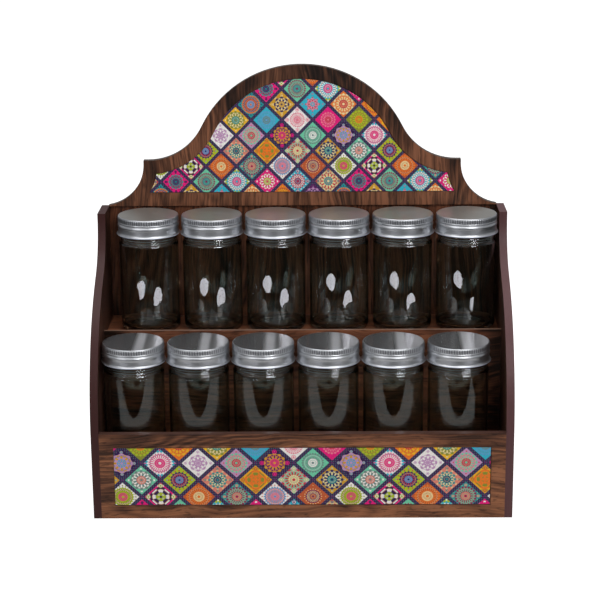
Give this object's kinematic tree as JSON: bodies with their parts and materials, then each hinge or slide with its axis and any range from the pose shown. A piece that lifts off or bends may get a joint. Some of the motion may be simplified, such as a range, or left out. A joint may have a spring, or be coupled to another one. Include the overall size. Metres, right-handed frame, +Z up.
{
  "type": "spice rack",
  "caption": "Free-standing two-tier wooden rack with an arched crest, patterned tile inlays, and two rows of cylindrical glass jars with screw lids.",
  "frame": {"origin": "centre of the bounding box's bottom face, on the surface that the rack stands on", "axes": "+Z up, the fascia and jars face -Y, +X to the right as seen from the front"},
  "size_m": [0.42, 0.159, 0.4336],
  "materials": {
    "wood_laminate": "dark walnut wood-grain laminate, satin",
    "printed_tile": "printed multicolour tile pattern, semi-gloss",
    "beech": "plain beech dowel",
    "steel_pin": "bright wire",
    "clear_glass": "clear, smooth",
    "lid_aluminium": "satin, lightly brushed",
    "liner_foam": "white foam"
  },
  "bodies": {
    "rack": {"left_side_panel": "wood_laminate", "right_side_panel": "wood_laminate", "back_panel": "wood_laminate", "crest_board": "wood_laminate", "crest_tile_inlay": "printed_tile", "fascia_board": "wood_laminate", "fascia_tile_inlay": "printed_tile", "riser_board": "wood_laminate", "lower_shelf": "wood_laminate", "upper_shelf": "wood_laminate", "left_dowels": "beech", "right_dowels": "beech", "back_panel_pins": "steel_pin"},
    "jar_lower_1": {"jar_lower_1": "clear_glass"},
    "liner_lower_1": {"liner_lower_1": "liner_foam"},
    "lid_lower_1": {"lid_lower_1": "lid_aluminium"},
    "jar_lower_2": {"jar_lower_2": "clear_glass"},
    "liner_lower_2": {"liner_lower_2": "liner_foam"},
    "lid_lower_2": {"lid_lower_2": "lid_aluminium"},
    "jar_lower_3": {"jar_lower_3": "clear_glass"},
    "liner_lower_3": {"liner_lower_3": "liner_foam"},
    "lid_lower_3": {"lid_lower_3": "lid_aluminium"},
    "jar_lower_4": {"jar_lower_4": "clear_glass"},
    "liner_lower_4": {"liner_lower_4": "liner_foam"},
    "lid_lower_4": {"lid_lower_4": "lid_aluminium"},
    "jar_lower_5": {"jar_lower_5": "clear_glass"},
    "liner_lower_5": {"liner_lower_5": "liner_foam"},
    "lid_lower_5": {"lid_lower_5": "lid_aluminium"},
    "jar_lower_6": {"jar_lower_6": "clear_glass"},
    "liner_lower_6": {"liner_lower_6": "liner_foam"},
    "lid_lower_6": {"lid_lower_6": "lid_aluminium"},
    "jar_upper_1": {"jar_upper_1": "clear_glass"},
    "liner_upper_1": {"liner_upper_1": "liner_foam"},
    "lid_upper_1": {"lid_upper_1": "lid_aluminium"},
    "jar_upper_2": {"jar_upper_2": "clear_glass"},
    "liner_upper_2": {"liner_upper_2": "liner_foam"},
    "lid_upper_2": {"lid_upper_2": "lid_aluminium"},
    "jar_upper_3": {"jar_upper_3": "clear_glass"},
    "liner_upper_3": {"liner_upper_3": "liner_foam"},
    "lid_upper_3": {"lid_upper_3": "lid_aluminium"},
    "jar_upper_4": {"jar_upper_4": "clear_glass"},
    "liner_upper_4": {"liner_upper_4": "liner_foam"},
    "lid_upper_4": {"lid_upper_4": "lid_aluminium"},
    "jar_upper_5": {"jar_upper_5": "clear_glass"},
    "liner_upper_5": {"liner_upper_5": "liner_foam"},
    "lid_upper_5": {"lid_upper_5": "lid_aluminium"},
    "jar_upper_6": {"jar_upper_6": "clear_glass"},
    "liner_upper_6": {"liner_upper_6": "liner_foam"},
    "lid_upper_6": {"lid_upper_6": "lid_aluminium"}
  },
  "joints": [
    {"name": "jar_lower_1_lift", "type": "slide", "parent": "rack", "child": "jar_lower_1", "axis": [0, 0, 1], "range_m": [0, 0.13]},
    {"name": "lid_lower_1_rise", "type": "slide", "parent": "jar_lower_1", "child": "liner_lower_1", "axis": [0, 0, 1], "range_m": [0, 0.0053]},
    {"name": "lid_lower_1_turn", "type": "hinge", "parent": "liner_lower_1", "child": "lid_lower_1", "pos_m": [-0.16895, -0.0385, 0.1634], "axis": [0, 0, 1], "range_deg": [0, 450]},
    {"name": "jar_lower_2_lift", "type": "slide", "parent": "rack", "child": "jar_lower_2", "axis": [0, 0, 1], "range_m": [0, 0.13]},
    {"name": "lid_lower_2_rise", "type": "slide", "parent": "jar_lower_2", "child": "liner_lower_2", "axis": [0, 0, 1], "range_m": [0, 0.0053]},
    {"name": "lid_lower_2_turn", "type": "hinge", "parent": "liner_lower_2", "child": "lid_lower_2", "pos_m": [-0.10385, -0.0385, 0.1634], "axis": [0, 0, 1], "range_deg": [0, 450]},
    {"name": "jar_lower_3_lift", "type": "slide", "parent": "rack", "child": "jar_lower_3", "axis": [0, 0, 1], "range_m": [0, 0.13]},
    {"name": "lid_lower_3_rise", "type": "slide", "parent": "jar_lower_3", "child": "liner_lower_3", "axis": [0, 0, 1], "range_m": [0, 0.0053]},
    {"name": "lid_lower_3_turn", "type": "hinge", "parent": "liner_lower_3", "child": "lid_lower_3", "pos_m": [-0.03875, -0.0385, 0.1634], "axis": [0, 0, 1], "range_deg": [0, 450]},
    {"name": "jar_lower_4_lift", "type": "slide", "parent": "rack", "child": "jar_lower_4", "axis": [0, 0, 1], "range_m": [0, 0.13]},
    {"name": "lid_lower_4_rise", "type": "slide", "parent": "jar_lower_4", "child": "liner_lower_4", "axis": [0, 0, 1], "range_m": [0, 0.0053]},
    {"name": "lid_lower_4_turn", "type": "hinge", "parent": "liner_lower_4", "child": "lid_lower_4", "pos_m": [0.02635, -0.0385, 0.1634], "axis": [0, 0, 1], "range_deg": [0, 450]},
    {"name": "jar_lower_5_lift", "type": "slide", "parent": "rack", "child": "jar_lower_5", "axis": [0, 0, 1], "range_m": [0, 0.13]},
    {"name": "lid_lower_5_rise", "type": "slide", "parent": "jar_lower_5", "child": "liner_lower_5", "axis": [0, 0, 1], "range_m": [0, 0.0053]},
    {"name": "lid_lower_5_turn", "type": "hinge", "parent": "liner_lower_5", "child": "lid_lower_5", "pos_m": [0.09145, -0.0385, 0.1634], "axis": [0, 0, 1], "range_deg": [0, 450]},
    {"name": "jar_lower_6_lift", "type": "slide", "parent": "rack", "child": "jar_lower_6", "axis": [0, 0, 1], "range_m": [0, 0.13]},
    {"name": "lid_lower_6_rise", "type": "slide", "parent": "jar_lower_6", "child": "liner_lower_6", "axis": [0, 0, 1], "range_m": [0, 0.0053]},
    {"name": "lid_lower_6_turn", "type": "hinge", "parent": "liner_lower_6", "child": "lid_lower_6", "pos_m": [0.15655, -0.0385, 0.1634], "axis": [0, 0, 1], "range_deg": [0, 450]},
    {"name": "jar_upper_1_lift", "type": "slide", "parent": "rack", "child": "jar_upper_1", "axis": [0, 0, 1], "range_m": [0, 0.13]},
    {"name": "lid_upper_1_rise", "type": "slide", "parent": "jar_upper_1", "child": "liner_upper_1", "axis": [0, 0, 1], "range_m": [0, 0.0053]},
    {"name": "lid_upper_1_turn", "type": "hinge", "parent": "liner_upper_1", "child": "lid_upper_1", "pos_m": [-0.15745, 0.0355, 0.2767], "axis": [0, 0, 1], "range_deg": [0, 450]},
    {"name": "jar_upper_2_lift", "type": "slide", "parent": "rack", "child": "jar_upper_2", "axis": [0, 0, 1], "range_m": [0, 0.13]},
    {"name": "lid_upper_2_rise", "type": "slide", "parent": "jar_upper_2", "child": "liner_upper_2", "axis": [0, 0, 1], "range_m": [0, 0.0053]},
    {"name": "lid_upper_2_turn", "type": "hinge", "parent": "liner_upper_2", "child": "lid_upper_2", "pos_m": [-0.09235, 0.0355, 0.2767], "axis": [0, 0, 1], "range_deg": [0, 450]},
    {"name": "jar_upper_3_lift", "type": "slide", "parent": "rack", "child": "jar_upper_3", "axis": [0, 0, 1], "range_m": [0, 0.13]},
    {"name": "lid_upper_3_rise", "type": "slide", "parent": "jar_upper_3", "child": "liner_upper_3", "axis": [0, 0, 1], "range_m": [0, 0.0053]},
    {"name": "lid_upper_3_turn", "type": "hinge", "parent": "liner_upper_3", "child": "lid_upper_3", "pos_m": [-0.02725, 0.0355, 0.2767], "axis": [0, 0, 1], "range_deg": [0, 450]},
    {"name": "jar_upper_4_lift", "type": "slide", "parent": "rack", "child": "jar_upper_4", "axis": [0, 0, 1], "range_m": [0, 0.13]},
    {"name": "lid_upper_4_rise", "type": "slide", "parent": "jar_upper_4", "child": "liner_upper_4", "axis": [0, 0, 1], "range_m": [0, 0.0053]},
    {"name": "lid_upper_4_turn", "type": "hinge", "parent": "liner_upper_4", "child": "lid_upper_4", "pos_m": [0.03785, 0.0355, 0.2767], "axis": [0, 0, 1], "range_deg": [0, 450]},
    {"name": "jar_upper_5_lift", "type": "slide", "parent": "rack", "child": "jar_upper_5", "axis": [0, 0, 1], "range_m": [0, 0.13]},
    {"name": "lid_upper_5_rise", "type": "slide", "parent": "jar_upper_5", "child": "liner_upper_5", "axis": [0, 0, 1], "range_m": [0, 0.0053]},
    {"name": "lid_upper_5_turn", "type": "hinge", "parent": "liner_upper_5", "child": "lid_upper_5", "pos_m": [0.10295, 0.0355, 0.2767], "axis": [0, 0, 1], "range_deg": [0, 450]},
    {"name": "jar_upper_6_lift", "type": "slide", "parent": "rack", "child": "jar_upper_6", "axis": [0, 0, 1], "range_m": [0, 0.13]},
    {"name": "lid_upper_6_rise", "type": "slide", "parent": "jar_upper_6", "child": "liner_upper_6", "axis": [0, 0, 1], "range_m": [0, 0.0053]},
    {"name": "lid_upper_6_turn", "type": "hinge", "parent": "liner_upper_6", "child": "lid_upper_6", "pos_m": [0.16805, 0.0355, 0.2767], "axis": [0, 0, 1], "range_deg": [0, 450]}
  ],
  "couplings": [
    {"joint": "lid_lower_1_rise", "follows": "lid_lower_1_turn", "m_per_rad": 0.00066845},
    {"joint": "lid_lower_2_rise", "follows": "lid_lower_2_turn", "m_per_rad": 0.00066845},
    {"joint": "lid_lower_3_rise", "follows": "lid_lower_3_turn", "m_per_rad": 0.00066845},
    {"joint": "lid_lower_4_rise", "follows": "lid_lower_4_turn", "m_per_rad": 0.00066845},
    {"joint": "lid_lower_5_rise", "follows": "lid_lower_5_turn", "m_per_rad": 0.00066845},
    {"joint": "lid_lower_6_rise", "follows": "lid_lower_6_turn", "m_per_rad": 0.00066845},
    {"joint": "lid_upper_1_rise", "follows": "lid_upper_1_turn", "m_per_rad": 0.00066845},
    {"joint": "lid_upper_2_rise", "follows": "lid_upper_2_turn", "m_per_rad": 0.00066845},
    {"joint": "lid_upper_3_rise", "follows": "lid_upper_3_turn", "m_per_rad": 0.00066845},
    {"joint": "lid_upper_4_rise", "follows": "lid_upper_4_turn", "m_per_rad": 0.00066845},
    {"joint": "lid_upper_5_rise", "follows": "lid_upper_5_turn", "m_per_rad": 0.00066845},
    {"joint": "lid_upper_6_rise", "follows": "lid_upper_6_turn", "m_per_rad": 0.00066845}
  ]
}
